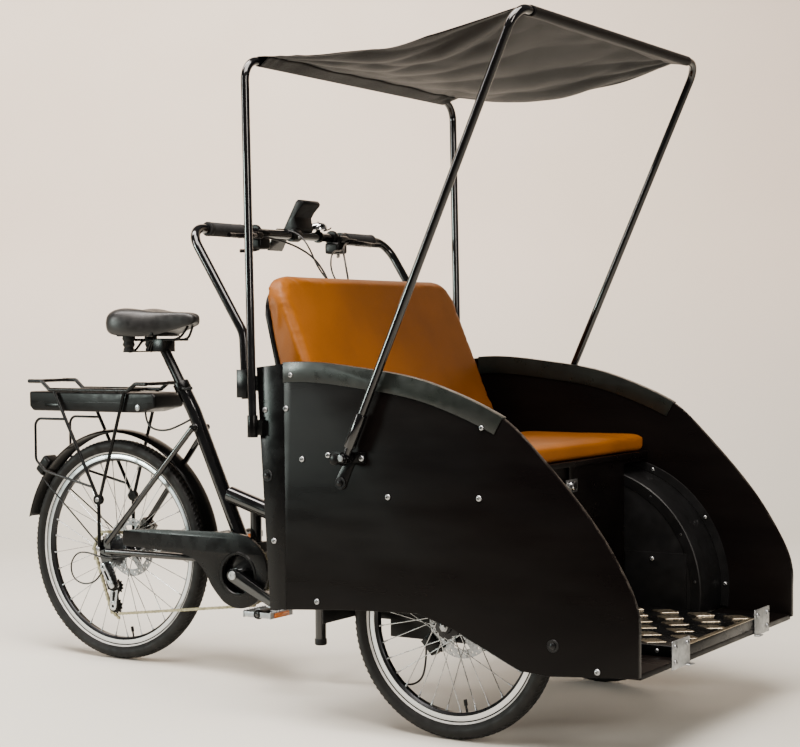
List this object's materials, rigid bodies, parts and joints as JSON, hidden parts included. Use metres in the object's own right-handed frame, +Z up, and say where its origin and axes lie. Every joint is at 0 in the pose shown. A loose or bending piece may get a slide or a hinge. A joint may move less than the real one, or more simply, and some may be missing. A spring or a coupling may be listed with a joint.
{
  "type": "cycle rickshaw",
  "caption": "Pedal rickshaw with a curved-sided passenger box over the front wheels, padded bench, folding canopy bow and an assisted rear bicycle frame.",
  "frame": {"origin": "on the ground, midway between the rearmost point of the mudguard and the foremost point of the step, on the centre plane", "axes": "+X forward, +Y to the left, +Z up; the steering points straight ahead"},
  "size_m": [2.0746, 0.978, 1.5547],
  "materials": {
    "frame_black": "gloss",
    "panel_ply": "satin",
    "trim_grey": "satin",
    "upholstery": "satin",
    "canopy_fabric": "woven",
    "tyre_rubber": "matte",
    "rim_silver": "brushed",
    "hub_steel": "satin",
    "chain_steel": "satin",
    "plate_zinc": "galvanised",
    "plastic_black": "satin",
    "saddle_black": "satin",
    "grip_rubber": "matte",
    "well_plastic": "satin",
    "pedal_alloy": "cast"
  },
  "bodies": {
    "rear_frame": {"main_frame": "frame_black", "leg_tip": "grip_rubber", "rear_stays": "frame_black", "motor_unit": "plastic_black", "chain_cover": "frame_black", "chain": "chain_steel", "derailleur": "plastic_black", "seat_post": "frame_black", "saddle": "saddle_black", "rear_rack": "frame_black", "battery": "plastic_black", "rear_mudguard": "plastic_black", "tail_lamp": "plastic_black"},
    "rear_wheel": {"rear_tyre": "tyre_rubber", "rear_rim": "rim_silver", "rear_hub": "hub_steel"},
    "crank": {"crank_set": "frame_black"},
    "pedal_r": {"pedal_right": "pedal_alloy"},
    "pedal_l": {"pedal_left": "pedal_alloy"},
    "passenger_box": {"side_panels": "panel_ply", "corner_posts": "frame_black", "edge_trims": "trim_grey", "rear_wall": "panel_ply", "backrest": "upholstery", "bench_box": "panel_ply", "floor_board": "panel_ply", "step_plate": "plastic_black", "step_brackets": "plate_zinc", "wheel_wells": "well_plastic", "steering_frame": "frame_black", "front_calipers": "frame_black", "rear_hoop": "frame_black", "handlebar": "frame_black", "hoop_fittings": "frame_black", "grips": "grip_rubber", "bar_controls": "frame_black", "display": "plastic_black", "cables": "grip_rubber", "canopy_cloth": "canopy_fabric"},
    "seat_lid": {"bench_lid": "panel_ply", "seat_cushion": "upholstery"},
    "canopy_bow": {"front_hoop": "frame_black"},
    "front_wheel_r": {"front_tyre_right": "tyre_rubber", "front_rim_right": "rim_silver", "front_hub_right": "hub_steel"},
    "front_wheel_l": {"front_tyre_left": "tyre_rubber", "front_rim_left": "rim_silver", "front_hub_left": "hub_steel"}
  },
  "joints": [
    {"name": "steering", "type": "hinge", "parent": "rear_frame", "child": "passenger_box", "pos_m": [0.4893, 0, 0.319], "axis": [0, 0, 1], "range_deg": [-30, 30]},
    {"name": "rear_wheel_spin", "type": "hinge", "parent": "rear_frame", "child": "rear_wheel", "pos_m": [-0.7177, 0, 0.3], "axis": [0, 1, 0], "continuous": true},
    {"name": "crank_spin", "type": "hinge", "parent": "rear_frame", "child": "crank", "pos_m": [-0.2657, 0, 0.268], "axis": [0, 1, 0], "continuous": true},
    {"name": "pedal_right_spin", "type": "hinge", "parent": "crank", "child": "pedal_r", "pos_m": [-0.11291, -0.145, 0.19348], "axis": [0, 1, 0], "continuous": true},
    {"name": "pedal_left_spin", "type": "hinge", "parent": "crank", "child": "pedal_l", "pos_m": [-0.4185, 0.145, 0.34252], "axis": [0, 1, 0], "continuous": true},
    {"name": "front_wheel_right_spin", "type": "hinge", "parent": "passenger_box", "child": "front_wheel_r", "pos_m": [0.5493, -0.364, 0.25], "axis": [0, 1, 0], "continuous": true},
    {"name": "front_wheel_left_spin", "type": "hinge", "parent": "passenger_box", "child": "front_wheel_l", "pos_m": [0.5493, 0.364, 0.25], "axis": [0, 1, 0], "continuous": true},
    {"name": "seat_lid_hinge", "type": "hinge", "parent": "passenger_box", "child": "seat_lid", "pos_m": [0.2843, 0, 0.5833], "axis": [0, -1, 0], "range_deg": [0, 65]},
    {"name": "canopy_fold", "type": "hinge", "parent": "passenger_box", "child": "canopy_bow", "pos_m": [0.3413, 0, 0.612], "axis": [0, -1, 0], "range_deg": [0, 35], "deforming": ["canopy_cloth"]}
  ]
}
